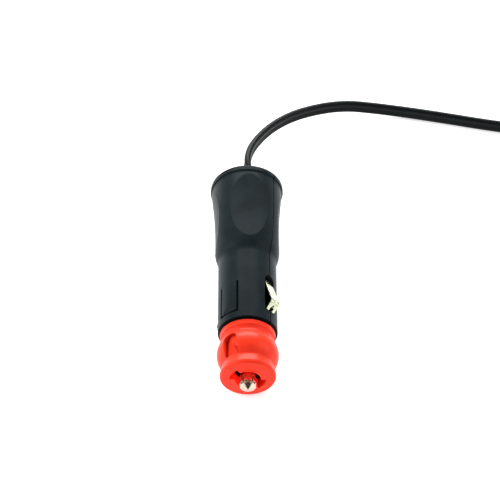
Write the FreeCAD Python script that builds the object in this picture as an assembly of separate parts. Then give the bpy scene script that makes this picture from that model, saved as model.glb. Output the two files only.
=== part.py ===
import FreeCAD, Part
import math
import os
from FreeCAD import Matrix, Placement, Rotation, Vector

# Universal cigarette lighter plug, in millimetres.
# A black two-shell body carries a fuse, a sprung centre pin and two sprung side contacts.
# A red bayonet adapter is twisted onto its slim nose. A flat twin lead leaves the back.
# The plug is drawn upright about its own axis: z = 0 at the shoulder between the handle
# and the barrel, +z towards the tip, x in the plane where the two shells meet.
# At the end every piece is laid down to rest on its back rim and on the adapter's ring.

# Barrel, nose and handle
barrel_r = 10.35
barrel_length = 29.9
nose_r = 6.0
nose_length = 15.5
handle_length = 38.4
rim_r = 13.5
rim_width = 2.3
rim_round = 0.9
rim_step = 0.5
grip_r = 13.0
grip_middle_r = 12.75
waist_r = 11.5
taper_length = 5.3
taper_bulge = 0.06

# Four thumb dishes around the handle, each a wide saddle
dish_count = 4
dish_rear_r = 13.14
dish_middle_r = 11.95
dish_front_r = 11.56
dish_middle_from_front = 18.0
dish_behind_rim = 0.9
dish_front_gap = 0.6
dish_across_r = 24.0

# Walls and hollows
back_wall = 2.0
handle_wall = 1.9
barrel_wall = 1.5
bulkhead_from_shoulder = 4.5
bulkhead_thickness = 2.0
front_wall = 2.5
chamber_wall = 1.3
nose_front_wall = 2.0
seam_gap = 0.08
seam_groove_width = 0.4
seam_groove_depth = 0.35

# Spring tongues moulded into the barrel, one in each shell
tongue_width = 6.5
tongue_length = 12.6
tongue_from_front = 3.4
tongue_slit = 0.75
tongue_front_slit = 0.9
tongue_bevel_length = 2.1
tongue_bevel_depth = 0.4

# Fuse, 20 mm long, in its chamber
fuse_r = 2.6
fuse_length = 20.0
fuse_cap_length = 5.0
fuse_cap_wall = 0.3
fuse_glass_wall = 0.5
fuse_wire_r = 0.15
chamber_gap = 0.7

# Centre pin with its castellated ring nut
pin_head_r = 2.72
pin_tip_height = 1.3
pin_tip_flat_r = 0.3
pin_head_back = 0.7
pin_neck_r = 1.45
pin_neck_length = 0.35
pin_shaft_r = 1.75
pin_flange_r = 2.9
pin_flange_length = 1.5
pin_head_from_nose = 6.84
running_gap = 0.07
crown_r = 2.75
crown_length = 3.2
crown_teeth = 10
crown_slot_width = 0.42
crown_slot_depth = 2.0
crown_slot_radial = 0.75

# Spring behind the fuse and the contact plate it rests on
spring_r = 2.35
spring_wire_r = 0.3
spring_turns = 6
plate_r = 3.1
plate_thickness = 0.6
tab_r = 1.2
tab_length = 7.0
tab_gap = 0.15

# Side contact leaves, bowed strips that turn about a rolled rear end
leaf_width = 3.9
leaf_root_width = 2.3
leaf_thickness = 0.4
leaf_pivot_from_bulkhead = 1.5
leaf_pivot_r = 7.7
leaf_curl_r = 0.62
leaf_bend_from_pivot = 6.0
leaf_bend_r = 10.1
leaf_crown_from_pivot = 14.4
leaf_crown_r = 12.83
leaf_end_from_pivot = 17.1
leaf_end_r = 10.15
leaf_bend_round = 12.0
leaf_crown_round = 2.0
leaf_fork_width = 1.5
leaf_fork_depth = 0.9
leaf_hole_r = 0.4
leaf_hole_from_end = 2.1
leaf_dimple_r = 1.0
leaf_dimple_height = 0.35
leaf_window_width = 4.8
leaf_window_rear = 9.5
leaf_window_front_gap = 0.65

# Earth bridge behind the bulkhead and the two strips that run on to the nose
bridge_r = 8.3
bridge_hole_r = 2.6
bridge_thickness = 0.6
seat_gap = 0.12
seat_width = 4.1
seat_lip = 0.95
arm_width = 3.4
arm_thickness = 0.8
slot_gap = 0.1
strip_width = 2.6
strip_thickness = 0.4
strip_r = 4.9
strip_bow_r = 5.65
strip_bow_from_front = 7.5
strip_end_from_front = 2.6
strip_bow_rise = 5.5
strip_bow_round = 6.0

# Screw that closes the handle, driven from the lower shell
screw_from_shoulder = 13.5
screw_r = 1.2
screw_length = 13.0
screw_head_r = 2.1
screw_head_height = 1.5
screw_slot_width = 0.6
screw_slot_depth = 0.7
screw_gap = 0.1
screw_bridge = 2.2
boss_r = 2.8

# Adapter sleeve
adapter_gap = 0.55
adapter_length = 18.8
collar_r = 9.62
collar_front_r = 9.5
collar_length = 2.1
collar_chamfer = 0.45
neck_r = 8.82
neck_from_rear = 3.65
ring_rear_r = 9.5
ring_rear_from_neck = 1.3
ring_r = 10.62
ring_from_rear = 9.15
ring_front_r = 9.15
ring_front_from_ring = 4.3
front_neck_r = 8.86
front_neck_from_ring = 4.95
disc_rear_r = 9.05
disc_rear_from_ring = 5.7
disc_r = 9.53
disc_from_front = 1.1
disc_edge_r = 9.1
disc_edge_from_front = 0.35
adapter_bore_gap = 0.08
adapter_floor_gap = 0.3

# Bayonet lugs on the nose, their grooves in the adapter and its twist
lug_width = 3.0
lug_height = 1.4
lug_length = 1.8
lug_from_shoulder = 36.6
lug_gap = 0.12
bayonet_twist_deg = 40.0

# Finger channels over the adapter's ring, and its front opening
channel_width = 5.4
channel_turn_deg = -4.0
channel_floor_r = 8.4
channel_from_rear = 5.2
channel_front_from_ring = 4.6
channel_nib_r = 9.4
channel_nib_from_rear = 7.8
channel_nib_length = 3.4
channel_nib_point = 0.3
channel_nib_point_from_rear = 8.9
channel_nib_front = 1.9
opening_r = 4.45
opening_wing_r = 6.2
opening_wing_deg = 111.4
opening_wing_spread_deg = 54.0

# Bush and the lead's own sizes
bush_r = 4.4
bush_end_r = 3.4
bush_length = 6.6
bush_groove_r = 3.8
bush_flange_r = 4.7
bush_flange_length = 1.2
cord_width = 5.2
cord_thickness = 2.6
cord_web = 1.7
cord_gap = 0.03
jacket_inside_length = 10.0
clamp_count = 2
clamp_thickness = 1.4
clamp_spacing = 3.0
wire_r = 0.85
wire_side = 5.4

# Lie of the plug: the shells' seam is turned this far from straight up
seam_deg = 49.4

# Route of the lead on the floor, row frame, after it leaves the bush
cord_straight = 7.7
cord_route = [
    (1.9, 66.4, 13.2),
    (9.5, 80.8, 10.2),
    (20.9, 91.6, 8.0),
    (38.2, 99.7, 5.1),
    (53.3, 99.7, 3.3),
    (76.0, 95.6, 2.6),
    (98.3, 89.8, 2.6),
    (122.5, 85.1, 2.6),
]
coil_centre = (140.0, 50.0)
coil_mean_r = 28.5
coil_layers = 4
coil_tiers = 2
coil_pitch = 2.75
coil_rise = 5.3
coil_enter_deg = 80.8
coil_leave_deg = -15.0
coil_round = 2.4
tail_route = [
    (169.9, 32.4, 7.9),
    (168.2, 24.8, 6.1),
    (166.6, 17.6, 4.75),
]
tail_straight = 6.8
run_share = 0.45

# Plug on the far end of the lead
dc_grip_r = 4.75
dc_grip_length = 17.0
dc_relief_length = 9.0
dc_relief_r = 3.1
dc_grip_round = 1.2
dc_ridges = 5
dc_ridge_width = 0.9
dc_ridge_spacing = 1.9
dc_ridge_depth = 0.35
dc_collar_r = 3.7
dc_collar_length = 1.6
dc_sleeve_r = 2.75
dc_sleeve_length = 9.5
dc_sleeve_wall = 0.35
dc_contact_r = 1.55
dc_bore_r = 1.05
dc_contact_recess = 1.0
dc_direction = (-0.19, -0.98, 0.0)

# Stations along the plug, worked out from the sizes above
far = 60.0
turn = 360.0
front_z = barrel_length + nose_length
chamber_r = fuse_r + chamber_gap
core_r = chamber_r + chamber_wall
hollow_r = barrel_r - barrel_wall
bulkhead_front = bulkhead_from_shoulder + bulkhead_thickness
front_wall_z = barrel_length - front_wall
flange_front = front_z - nose_front_wall
fuse_front = flange_front - pin_flange_length
fuse_rear = fuse_front - fuse_length
plate_rear = bulkhead_front + 1.5
plate_front = plate_rear + plate_thickness
pivot_z = bulkhead_front + leaf_pivot_from_bulkhead
adapter_rear = barrel_length + adapter_gap
adapter_front = adapter_rear + adapter_length
ring_z = adapter_rear + ring_from_rear
head_plane = front_z + pin_head_from_nose
head_rear = head_plane - pin_head_back
crown_front = head_rear - pin_neck_length
back_z = -handle_length
bush_end = back_z - bush_length
jacket_end = back_z + back_wall + jacket_inside_length
cord_r = cord_width / 2
lobe_r = cord_thickness / 2
lobe_offset = (cord_width - cord_thickness) / 2
Z = Vector(0, 0, 1)


def turned(edges, full=turn):
    """Solid of revolution about z from edges drawn as (radius, z)."""
    wire = Part.Wire(edges)
    return Part.Face(wire).revolve(Vector(0, 0, 0), Z, full)


def point(r, z):
    return Vector(r, 0, z)


def line(a, b):
    return Part.LineSegment(point(*a), point(*b)).toShape()


def arc(a, b, c):
    return Part.Arc(point(*a), point(*b), point(*c)).toShape()


def outline(points):
    """Closed wire edges through (radius, z) points, all straight."""
    return [line(a, b) for a, b in zip(points, points[1:] + points[:1])]


def ring(r_out, r_in, z0, z1):
    """Round bar or tube between two stations."""
    bar = Part.makeCylinder(r_out, z1 - z0, Vector(0, 0, z0))
    if r_in > 0:
        bar = bar.cut(Part.makeCylinder(r_in, z1 - z0, Vector(0, 0, z0)))
    return bar


def block(x0, x1, y0, y1, z0, z1):
    return Part.makeBox(x1 - x0, y1 - y0, z1 - z0, Vector(x0, y0, z0))


def both_sides(shape):
    """The shape and its copy half a turn round the axis."""
    other = shape.copy()
    other.rotate(Vector(0, 0, 0), Z, 180)
    return [shape, other]


def fused(shapes):
    whole = shapes[0]
    for s in shapes[1:]:
        whole = whole.fuse(s)
    return whole.removeSplitter()


def cut_all(shape, cutters):
    for c in cutters:
        shape = shape.cut(c)
    return shape


def strip(path, rounds, thickness, width):
    """Bent sheet strip: path is (z, radius) corners, rounds the radius at each inner corner."""
    half = thickness / 2
    sides = {half: [], -half: []}
    corners = [Vector(r, 0, z) for z, r in path]
    for side, edges in sides.items():
        last = None
        for i, corner in enumerate(corners):
            if i in (0, len(corners) - 1):
                a, b = (corners[0], corners[1]) if i == 0 else (corners[-2], corners[-1])
                along = (b - a).normalize()
                spot = corner + along.cross(Vector(0, 1, 0)) * side
                if last is not None:
                    edges.append(Part.LineSegment(last, spot).toShape())
                last = spot
                continue
            before = (corner - corners[i - 1]).normalize()
            after = (corners[i + 1] - corner).normalize()
            half_turn = before.getAngle(after) / 2
            back = rounds[i - 1] * math.tan(half_turn)
            start, end = corner - before * back, corner + after * back
            inward = (after - before).normalize()
            centre = corner + inward * (rounds[i - 1] / math.cos(half_turn))
            middle = centre - inward * rounds[i - 1]
            moved = []
            for p in (start, middle, end):
                out = (p - centre).normalize()
                same = out.dot(before.cross(Vector(0, 1, 0))) > 0
                moved.append(p + out * (side if same else -side))
            edges.append(Part.LineSegment(last, moved[0]).toShape())
            edges.append(Part.Arc(*moved).toShape())
            last = moved[-1]
    first = [edges[0].Vertexes[0].Point for edges in sides.values()]
    final = [edges[-1].Vertexes[-1].Point for edges in sides.values()]
    ends = [Part.LineSegment(*first).toShape(), Part.LineSegment(*final).toShape()]
    wire = Part.Wire(Part.__sortEdges__(sides[half] + sides[-half] + ends))
    sheet = Part.Face(wire).extrude(Vector(0, width, 0))
    sheet.translate(Vector(0, -width / 2, 0))
    return sheet


def rounded_path(points, share=run_share):
    """Straight runs joined by tangent arcs, and the arcs' radii."""
    points = [Vector(*p) for p in points]
    edges, radii, last = [], [], points[0]
    for before, corner, after in zip(points, points[1:], points[2:]):
        a, b = corner - before, after - corner
        half_turn = a.getAngle(b) / 2
        back = share * min(a.Length, b.Length)
        radii.append(back / math.tan(half_turn))
        a.normalize()
        b.normalize()
        start, end = corner - a * back, corner + b * back
        inward = (b - a).normalize()
        centre = corner + inward * (radii[-1] / math.cos(half_turn))
        middle = centre - inward * radii[-1]
        edges.append(Part.LineSegment(last, start).toShape())
        edges.append(Part.Arc(start, middle, end).toShape())
        last = end
    edges.append(Part.LineSegment(last, points[-1]).toShape())
    return edges, radii


def tube(points, radius, name):
    """Round lead or wire along the points; prints its radii and compares its volume."""
    edges, radii = rounded_path(points)
    path = Part.Wire(edges)
    ahead = Vector(*points[1]) - Vector(*points[0])
    section = Part.Wire(Part.makeCircle(radius, Vector(*points[0]), ahead))
    solid = path.makePipeShell([section], True, False)
    expected = math.pi * radius**2 * path.Length
    print(name, "length %.1f" % path.Length, "radii", [round(r, 1) for r in radii])
    print(name, "volume %.1f, section times length %.1f" % (solid.Volume, expected))
    return solid


def handle_body():
    """Flared handle with its back rim, taper and four thumb dishes."""
    rim_front = back_z + rim_width
    taper_middle = ((waist_r + barrel_r) / 2, -0.55 * taper_length)
    edges = [
        line((0, back_z), (rim_r - rim_round, back_z)),
        arc(
            (rim_r - rim_round, back_z),
            (rim_r - rim_round * (1 - math.sin(math.pi / 4)), back_z + rim_round * (1 - math.cos(math.pi / 4))),
            (rim_r, back_z + rim_round),
        ),
        line((rim_r, back_z + rim_round), (rim_r, rim_front)),
        line((rim_r, rim_front), (grip_r, rim_front + rim_step)),
        arc((grip_r, rim_front + rim_step), (grip_middle_r, back_z / 2), (waist_r, -taper_length)),
        arc(
            (waist_r, -taper_length),
            ((3 * waist_r + barrel_r) / 4 + taper_bulge, -0.77 * taper_length),
            taper_middle,
        ),
        arc(
            taper_middle,
            ((waist_r + 3 * barrel_r) / 4 - taper_bulge * 2, -0.31 * taper_length),
            (barrel_r, 0),
        ),
        line((barrel_r, 0), (0, 0)),
        line((0, 0), (0, back_z)),
    ]
    body = turned(edges)
    for i in range(dish_count):
        body = body.common(dish_limit(turn * (i + 0.5) / dish_count))
    return body


def dish_limit(angle):
    """Large saddle-sided solid that the handle is trimmed to on one side."""
    offset = dish_across_r - dish_middle_r
    rear = back_z + rim_width + dish_behind_rim
    front = -taper_length + dish_front_gap
    middle = front - dish_middle_from_front
    clear = rim_r + 1.5
    edges = [
        line((0, back_z - 1), (clear + offset, back_z - 1)),
        line((clear + offset, back_z - 1), (clear + offset, rear - 1)),
        line((clear + offset, rear - 1), (dish_rear_r + offset, rear)),
        arc(
            (dish_rear_r + offset, rear),
            (dish_middle_r + offset, middle),
            (dish_front_r + offset, front),
        ),
        line((dish_front_r + offset, front), (dish_front_r + offset, 1)),
        line((dish_front_r + offset, 1), (0, 1)),
        line((0, 1), (0, back_z - 1)),
    ]
    solid = turned(edges)
    solid.translate(Vector(-offset, 0, 0))
    solid.rotate(Vector(0, 0, 0), Z, angle)
    return solid


def lug():
    reach = nose_r + lug_height
    bar = block(-lug_width / 2, lug_width / 2, nose_r - 1, reach, lug_from_shoulder, lug_from_shoulder + lug_length)
    return bar.common(ring(reach, 0, lug_from_shoulder, lug_from_shoulder + lug_length))


def rear_hollow():
    """Space for the wires, with the screw's boss and the cord clamp's ribs left standing."""
    inner = waist_r - handle_wall
    hollow = turned(
        outline(
            [
                (0, back_z + back_wall),
                (inner, back_z + back_wall),
                (inner, -taper_length),
                (hollow_r, -taper_length / 2),
                (hollow_r, bulkhead_from_shoulder),
                (0, bulkhead_from_shoulder),
            ]
        )
    )
    boss = Part.makeCylinder(boss_r, 4 * rim_r, Vector(0, -2 * rim_r, -screw_from_shoulder), Vector(0, 1, 0))
    ribs = []
    for i in range(clamp_count):
        z = back_z + back_wall + bush_flange_length + clamp_spacing * (i + 0.5)
        ribs.append(ring(far, 0, z, z + clamp_thickness))
    return cut_all(hollow, [boss] + ribs)


def leaf_window():
    """Opening in the barrel's wall for one side contact, round at its rear end."""
    half = leaf_window_width / 2
    front = pivot_z + leaf_end_from_pivot + leaf_window_front_gap
    mouth = block(core_r, far, -half, half, leaf_window_rear + half, front)
    end = Part.makeCylinder(half, far, Vector(core_r, 0, leaf_window_rear + half), Vector(1, 0, 0))
    return mouth.fuse(end)


def tongue_cutters():
    """U-shaped slit round the spring tongue, and the bevel on its free end."""
    half = tongue_width / 2
    tip = barrel_length - tongue_from_front
    root = tip - tongue_length
    deep = core_r + 1
    sides = [
        block(half, half + tongue_slit, deep, far, root, tip + tongue_front_slit),
        block(-half - tongue_slit, -half, deep, far, root, tip + tongue_front_slit),
        block(-half, half, deep, far, tip, tip + tongue_front_slit),
    ]
    bevel_start = tip - tongue_bevel_length
    outside = barrel_r + 1
    deeper = barrel_r - tongue_bevel_depth
    slope = Part.Wire(
        [
            Part.LineSegment(Vector(-half, barrel_r, bevel_start), Vector(-half, outside, bevel_start)).toShape(),
            Part.LineSegment(Vector(-half, outside, bevel_start), Vector(-half, outside, tip)).toShape(),
            Part.LineSegment(Vector(-half, outside, tip), Vector(-half, deeper, tip)).toShape(),
            Part.LineSegment(Vector(-half, deeper, tip), Vector(-half, barrel_r, bevel_start)).toShape(),
        ]
    )
    return sides + [Part.Face(slope).extrude(Vector(tongue_width, 0, 0))]


def cord_section(gap=0.0):
    """Twin lead's outline as a straight bar from the bush to its end inside the handle."""
    length = jacket_end - bush_end
    lobes = [
        Part.makeCylinder(lobe_r + gap, length, Vector(side * lobe_offset, 0, bush_end))
        for side in (1, -1)
    ]
    half = cord_web / 2 + gap
    return fused(lobes + [block(-lobe_offset, lobe_offset, -half, half, bush_end, jacket_end)])


def screw_hole():
    head_seat = -(waist_r - screw_bridge - screw_head_height)
    down = Vector(0, -1, 0)
    centre = Vector(0, 0, -screw_from_shoulder)
    passage = Part.makeCylinder(screw_r + screw_gap, -head_seat, centre, down)
    head = Part.makeCylinder(
        screw_head_r + screw_gap, 2 * rim_r, centre + Vector(0, head_seat, 0), down
    )
    pilot = Part.makeCylinder(screw_r, screw_length + head_seat + 0.5, centre, Vector(0, 1, 0))
    return [passage, head, pilot]


def bridge_slots(gap):
    """Arms that pass through the bulkhead, and their openings when a gap is given."""
    r0 = leaf_pivot_r - arm_thickness / 2
    arm = block(
        r0 - gap,
        r0 + arm_thickness + gap,
        -arm_width / 2 - gap,
        arm_width / 2 + gap,
        bulkhead_from_shoulder - bridge_thickness,
        bulkhead_front,
    )
    return both_sides(arm)


def strip_shape(gap=0.0):
    """Earth strip from the bridge to the nose, or its channel when a gap is given."""
    z0 = bulkhead_from_shoulder
    bow = front_z - strip_bow_from_front
    end = front_z - strip_end_from_front
    if gap:
        half = strip_width / 2 + gap
        inner = strip_r - strip_thickness / 2 - gap
        outer = strip_r + strip_thickness / 2 + gap
        channel = block(inner, outer, -half, half, z0, end + gap)
        mouth = block(inner, far, -half, half, barrel_length, end + gap)
        return channel.fuse(mouth)
    path = [(z0, strip_r), (bow - strip_bow_rise, strip_r), (bow, strip_bow_r), (end, strip_r)]
    return strip(path, [strip_bow_round] * 2, strip_thickness, strip_width)


def seam_groove():
    """Shallow groove that softens the shells' meeting edges along handle and barrel."""
    half = seam_groove_width / 2
    depth = seam_groove_depth
    skin = block(-far, far, -half, half, back_z - 1, barrel_length + 1)
    core = turned(
        outline(
            [
                (0, back_z + depth),
                (grip_r - depth, back_z + depth),
                (grip_middle_r - depth, back_z / 2),
                ((grip_middle_r + waist_r) / 2 + depth / 2, back_z / 4 - taper_length / 2),
                (waist_r - depth, -taper_length),
                (barrel_r - depth, -depth),
                (barrel_r - depth, barrel_length - depth),
                (0, barrel_length - depth),
            ]
        )
    )
    return skin.cut(core).cut(ring(nose_r + 1, 0, barrel_length - 1, far))


def shells():
    """The two halves of the moulded body."""
    outside = fused(
        [handle_body(), ring(barrel_r, 0, 0, barrel_length), ring(nose_r, 0, 0, front_z)]
        + both_sides(lug())
    )
    pin_hole = ring(pin_shaft_r + running_gap, 0, flange_front - 1, front_z + 1)
    cutters = [
        rear_hollow(),
        ring(hollow_r, core_r, bulkhead_front, front_wall_z),
        ring(chamber_r, 0, plate_rear, flange_front),
        ring(tab_r + tab_gap, 0, bulkhead_from_shoulder - 1, plate_rear + 1),
        pin_hole,
        ring(bush_groove_r, 0, back_z - 1, back_z + back_wall + 1),
        cord_section(cord_gap),
    ]
    cutters += both_sides(leaf_window())
    for cutter in tongue_cutters():
        cutters += both_sides(cutter)
    cutters += bridge_slots(slot_gap)
    cutters += both_sides(strip_shape(slot_gap))
    cutters += screw_hole()
    cutters.append(seam_groove())
    whole = cut_all(outside, cutters)
    upper = whole.common(block(-far, far, seam_gap / 2, far, -far, far))
    lower = whole.common(block(-far, far, -far, -seam_gap / 2, -far, far))
    return upper.removeSplitter(), lower.removeSplitter()


def adapter():
    """Red sleeve: collar, neck, bulged ring, second neck and the front disc with its opening."""
    z = adapter_rear
    neck_z = z + neck_from_rear
    ring_rear_z = neck_z + ring_rear_from_neck
    ring_front_z = ring_z + ring_front_from_ring
    front_neck_z = ring_z + front_neck_from_ring
    disc_rear_z = ring_z + disc_rear_from_ring
    collar_z = z + collar_length
    disc_z = adapter_front - disc_from_front
    edge_z = adapter_front - disc_edge_from_front
    edges = [
        line((0, z), (collar_r - collar_chamfer, z)),
        line((collar_r - collar_chamfer, z), (collar_r, z + collar_chamfer)),
        line((collar_r, z + collar_chamfer), (collar_front_r, collar_z)),
        arc((collar_front_r, collar_z), (neck_r, neck_z), (ring_rear_r, ring_rear_z)),
        arc((ring_rear_r, ring_rear_z), (ring_r, ring_z), (ring_front_r, ring_front_z)),
        arc((ring_front_r, ring_front_z), (front_neck_r, front_neck_z), (disc_rear_r, disc_rear_z)),
        line((disc_rear_r, disc_rear_z), (disc_r - 0.08, disc_z - 1)),
        arc((disc_r - 0.08, disc_z - 1), (disc_r, disc_z), (disc_edge_r, edge_z)),
        line((disc_edge_r, edge_z), (opening_r, adapter_front)),
        line((opening_r, adapter_front), (0, adapter_front)),
        line((0, adapter_front), (0, z)),
    ]
    sleeve = turned(edges)
    bore_end = front_z + adapter_floor_gap
    cutters = [ring(nose_r + adapter_bore_gap, 0, z - 1, bore_end)]
    cutters += bayonet_grooves()
    cutters += finger_channels()
    cutters += front_opening(bore_end)
    return cut_all(sleeve, cutters).removeSplitter()


def sector(r, z0, z1, first, last):
    """Wedge of a round bar between two angles about the axis, in degrees."""
    wedge = Part.makeCylinder(r, z1 - z0, Vector(0, 0, z0), Z, last - first)
    wedge.rotate(Vector(0, 0, 0), Z, first)
    return wedge


def bayonet_grooves():
    """Straight way in for each lug, and the stretch that it turns along."""
    reach = nose_r + lug_height + lug_gap
    half_deg = math.degrees(math.asin((lug_width / 2 + lug_gap) / nose_r))
    z0, z1 = lug_from_shoulder - lug_gap, lug_from_shoulder + lug_length + lug_gap
    turn_way = sector(reach, z0, z1, 90 - bayonet_twist_deg - half_deg, 90 + half_deg)
    middle = 90 - bayonet_twist_deg
    way_in = sector(reach, adapter_rear - 1, z1, middle - half_deg, middle + half_deg)
    return both_sides(turn_way) + both_sides(way_in)


def finger_channels():
    """Round-ended channels across the ring, one on each side, with a pointed nib in each."""
    half = channel_width / 2
    rear = adapter_rear + channel_from_rear + half
    front = ring_z + channel_front_from_ring
    mouth = block(-half, half, 0, far, rear, front)
    end = Part.makeCylinder(half, far, Vector(0, 0, rear), Vector(0, 1, 0))
    channel = mouth.fuse(end).cut(ring(channel_floor_r, 0, adapter_rear, adapter_front))
    start = adapter_rear + channel_nib_from_rear
    end = start + channel_nib_length
    corners = [
        Vector(channel_nib_point * 2, 0, start),
        Vector(half + 1, 0, start),
        Vector(half + 1, 0, end),
        Vector(channel_nib_front, 0, end),
        Vector(channel_nib_point, 0, adapter_rear + channel_nib_point_from_rear),
    ]
    nib = Part.Face(Part.makePolygon(corners + corners[:1])).extrude(Vector(0, far, 0))
    nib = nib.common(ring(channel_nib_r, 0, adapter_rear, adapter_front))
    channel = channel.cut(nib)
    channel.rotate(Vector(0, 0, 0), Vector(0, 0, 1), channel_turn_deg)
    return both_sides(channel)


def front_opening(floor_z):
    """Round opening with two wings, right through the sleeve's front wall."""
    half = opening_wing_spread_deg / 2
    z0, z1 = floor_z - 1, adapter_front + 1
    wing = sector(opening_wing_r, z0, z1, opening_wing_deg - half, opening_wing_deg + half)
    return both_sides(wing) + [ring(opening_r, 0, z0, z1)]


def centre_pin():
    """Turned pin: blunt tip, neck, shaft and the flange that keeps it in the nose."""
    return turned(
        outline(
            [
                (0, fuse_front),
                (pin_flange_r, fuse_front),
                (pin_flange_r, flange_front),
                (pin_shaft_r, flange_front),
                (pin_shaft_r, crown_front),
                (pin_neck_r, crown_front),
                (pin_neck_r, head_rear),
                (pin_head_r - 0.25, head_plane - 0.25),
                (pin_head_r, head_plane),
                (pin_tip_flat_r, head_plane + pin_tip_height),
                (0, head_plane + pin_tip_height),
            ]
        )
    )


def crown_nut():
    """Ring nut on the pin with castellated front teeth."""
    nut = ring(crown_r, pin_shaft_r, crown_front - crown_length, crown_front)
    for i in range(crown_teeth):
        notch = block(
            crown_r - crown_slot_radial,
            far,
            -crown_slot_width / 2,
            crown_slot_width / 2,
            crown_front - crown_slot_depth,
            far,
        )
        notch.rotate(Vector(0, 0, 0), Z, seam_deg + turn * i / crown_teeth)
        nut = nut.cut(notch)
    return nut


def spring():
    """Coil spring between the contact plate and the fuse."""
    free = fuse_rear - plate_front - 2 * spring_wire_r
    helix = Part.makeHelix(free / spring_turns, free, spring_r)
    circle = Part.Wire(Part.makeCircle(spring_wire_r, Vector(spring_r, 0, 0), Vector(0, 1, 0)))
    coil = Part.Wire(helix).makePipeShell([circle], True, True)
    coil.translate(Vector(0, 0, plate_front + spring_wire_r))
    return coil


def fuse_parts():
    inner = fuse_r - fuse_cap_wall

    def cap(end, into):
        low, high = sorted((end, end + into * fuse_cap_length))
        cup = ring(fuse_r, 0, low, high)
        floor = end + into * fuse_cap_wall
        low, high = sorted((floor, floor + into * fuse_cap_length))
        return cup.cut(ring(inner, 0, low, high))

    glass = ring(inner, inner - fuse_glass_wall, fuse_rear + fuse_cap_wall, fuse_front - fuse_cap_wall)
    wire = ring(fuse_wire_r, 0, fuse_rear + fuse_cap_wall, fuse_front - fuse_cap_wall)
    return {
        "fuse_cap_front": cap(fuse_front, -1),
        "fuse_cap_rear": cap(fuse_rear, 1),
        "fuse_glass": glass,
        "fuse_wire": wire,
    }


def positive_terminal():
    plate = ring(plate_r, 0, plate_rear, plate_front)
    return plate.fuse(ring(tab_r, 0, plate_front - tab_length, plate_rear)).removeSplitter()


def side_contact():
    """One leaf on the x side: rolled end, bowed strip, dimple, hole and forked tip."""
    path = [
        (pivot_z, leaf_pivot_r),
        (pivot_z + leaf_bend_from_pivot, leaf_bend_r),
        (pivot_z + leaf_crown_from_pivot, leaf_crown_r),
        (pivot_z + leaf_end_from_pivot, leaf_end_r),
    ]
    half = leaf_width / 2
    sheet = strip(path, [leaf_bend_round, leaf_crown_round], leaf_thickness, leaf_width)
    root = leaf_root_width / 2
    bend_z = pivot_z + leaf_bend_from_pivot + 1
    blank = [
        Vector(0, -root, pivot_z - 1),
        Vector(0, root, pivot_z - 1),
        Vector(0, half, bend_z),
        Vector(0, half, far),
        Vector(0, -half, far),
        Vector(0, -half, bend_z),
    ]
    sheet = sheet.common(Part.Face(Part.makePolygon(blank + blank[:1])).extrude(Vector(far, 0, 0)))
    roll = Part.makeCylinder(leaf_curl_r, 2 * root, Vector(leaf_pivot_r, -root, pivot_z), Vector(0, 1, 0))
    crown_z = pivot_z + leaf_crown_from_pivot
    peak = leaf_peak()
    dimple = Part.makeSphere(leaf_dimple_r, Vector(peak + leaf_dimple_height - leaf_dimple_r, 0, crown_z - 0.4))
    end_z = pivot_z + leaf_end_from_pivot
    fork = block(leaf_end_r - 2, leaf_end_r + 2, -leaf_fork_width / 2, leaf_fork_width / 2, end_z - leaf_fork_depth, far)
    hole = Part.makeCylinder(
        leaf_hole_r, 4, Vector(leaf_end_r - 0.5, 0, end_z - leaf_hole_from_end - 1), Vector(1, 0, 1)
    )
    return cut_all(fused([sheet, roll, dimple]), [fork, hole]).removeSplitter()


def leaf_peak():
    """Height of the leaf's outer face at its crown."""
    rise = math.atan2(leaf_crown_r - leaf_bend_r, leaf_crown_from_pivot - leaf_bend_from_pivot)
    fall = math.atan2(leaf_crown_r - leaf_end_r, leaf_end_from_pivot - leaf_crown_from_pivot)
    half_turn = (rise + fall) / 2
    lean = (fall - rise) / 2
    centre = leaf_crown_r - leaf_crown_round / math.cos(half_turn) * math.cos(lean)
    return centre + leaf_crown_round + leaf_thickness / 2


def ground_bridge():
    """Stamped ring behind the bulkhead, with an arm and a pivot seat for each leaf."""
    z1 = bulkhead_from_shoulder
    plate = ring(bridge_r, bridge_hole_r, z1 - bridge_thickness, z1)
    half = seat_width / 2
    seat = block(
        leaf_pivot_r - seat_lip,
        leaf_pivot_r + seat_lip,
        -half,
        half,
        bulkhead_front,
        pivot_z - seat_gap,
    )
    seat = seat.common(ring(hollow_r - seat_gap, 0, bulkhead_front, pivot_z))
    trough = Part.makeCylinder(
        leaf_curl_r + seat_gap, 2 * seat_width, Vector(leaf_pivot_r, -seat_width, pivot_z), Vector(0, 1, 0)
    )
    seats = both_sides(seat.cut(trough))
    return fused([plate] + bridge_slots(0.0) + seats)


def screw():
    """Pan-headed screw with a cross slot, driven along y from the lower shell."""
    seat = -(waist_r - screw_bridge - screw_head_height)
    centre = Vector(0, 0, -screw_from_shoulder)
    shank = Part.makeCylinder(screw_r, screw_length, centre + Vector(0, seat, 0), Vector(0, 1, 0))
    head = Part.makeCylinder(screw_head_r, screw_head_height, centre + Vector(0, seat, 0), Vector(0, -1, 0))
    body = shank.fuse(head)
    top = seat - screw_head_height
    half = screw_slot_width / 2
    z = -screw_from_shoulder
    reach = screw_head_r - 0.6
    slots = [
        block(-reach, reach, top - 1, top + screw_slot_depth, z - half, z + half),
        block(-half, half, top - 1, top + screw_slot_depth, z - reach, z + reach),
    ]
    return cut_all(body, slots).removeSplitter()


def cable_bush():
    z1 = back_z + back_wall
    bush = turned(
        outline(
            [
                (0, bush_end),
                (bush_end_r, bush_end),
                (bush_r, back_z),
                (bush_groove_r, back_z),
                (bush_groove_r, z1),
                (bush_flange_r, z1),
                (bush_flange_r, z1 + bush_flange_length),
                (0, z1 + bush_flange_length),
            ]
        )
    )
    return bush.cut(cord_section(cord_gap))


def jacket():
    return cord_section()


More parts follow.
